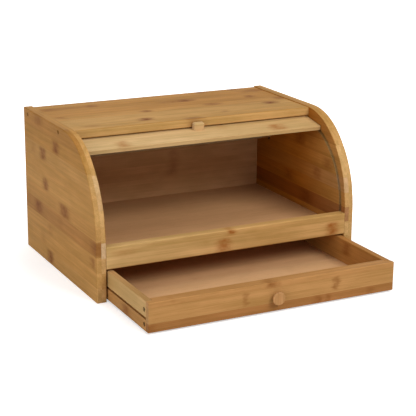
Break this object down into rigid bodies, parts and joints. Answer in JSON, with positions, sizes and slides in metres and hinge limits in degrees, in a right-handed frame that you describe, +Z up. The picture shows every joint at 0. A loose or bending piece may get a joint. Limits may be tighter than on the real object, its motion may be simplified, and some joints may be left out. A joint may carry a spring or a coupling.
{
  "type": "bread box with drawer",
  "caption": "Laminated bamboo bread box with rounded side panels, a slatted roll-top running in grooves, and a full-width drawer on wooden runners below.",
  "frame": {"origin": "on the table under the middle of the whole object at rest, with the drawer part way out", "axes": "+X to the right seen from the front, +Y from the front to the back, +Z up from the table"},
  "size_m": [0.4, 0.4186, 0.213],
  "materials": {
    "bamboo_side": "satin lacquered laminated bamboo, caramel, strips front to back",
    "bamboo_top": "satin lacquered laminated bamboo, strips along the width",
    "bamboo_light": "satin lacquered light bamboo",
    "bamboo_inside": "satin lacquered laminated bamboo inside",
    "bamboo_slat": "satin lacquered bamboo slat",
    "bamboo_drawer": "satin lacquered laminated bamboo, strips along the board",
    "bamboo_sheet": "thin bamboo sheet",
    "dowel": "plain beech",
    "screw": "zinc plated",
    "canvas": "plain cotton canvas"
  },
  "bodies": {
    "cabinet": {"side_panel_left": "bamboo_side", "side_panel_right": "bamboo_side", "top_panel": "bamboo_top", "back_panel": "bamboo_inside", "front_rail": "bamboo_top", "rail_dowels": "dowel", "compartment_floor": "bamboo_inside", "runner_left": "bamboo_light", "runner_right": "bamboo_light", "cabinet_screws": "screw"},
    "roll_top": {"lead_bar": "bamboo_light", "grip": "bamboo_light", "grip_screw": "screw", "slat_01": "bamboo_slat", "slat_02": "bamboo_slat", "slat_03": "bamboo_slat", "slat_04": "bamboo_slat", "slat_05": "bamboo_slat", "slat_06": "bamboo_slat", "slat_07": "bamboo_slat", "slat_08": "bamboo_slat", "slat_09": "bamboo_slat", "slat_10": "bamboo_slat", "slat_11": "bamboo_slat", "slat_12": "bamboo_slat", "canvas_backing": "canvas"},
    "drawer": {"drawer_front": "bamboo_drawer", "drawer_side_left": "bamboo_drawer", "drawer_side_right": "bamboo_drawer", "drawer_back": "bamboo_drawer", "drawer_bottom": "bamboo_sheet", "drawer_bottom_screws": "screw", "drawer_screws": "screw", "drawer_knob": "bamboo_light", "knob_screw": "screw"}
  },
  "joints": [
    {"name": "roll_top_turn", "type": "hinge", "parent": "cabinet", "child": "roll_top", "pos_m": [0, 0.05725, 0.0804], "axis": [1, 0, 0], "range_deg": [0, 63.89]},
    {"name": "drawer_slide", "type": "slide", "parent": "cabinet", "child": "drawer", "axis": [0, -1, 0], "range_m": [-0.1305, 0.055]}
  ]
}
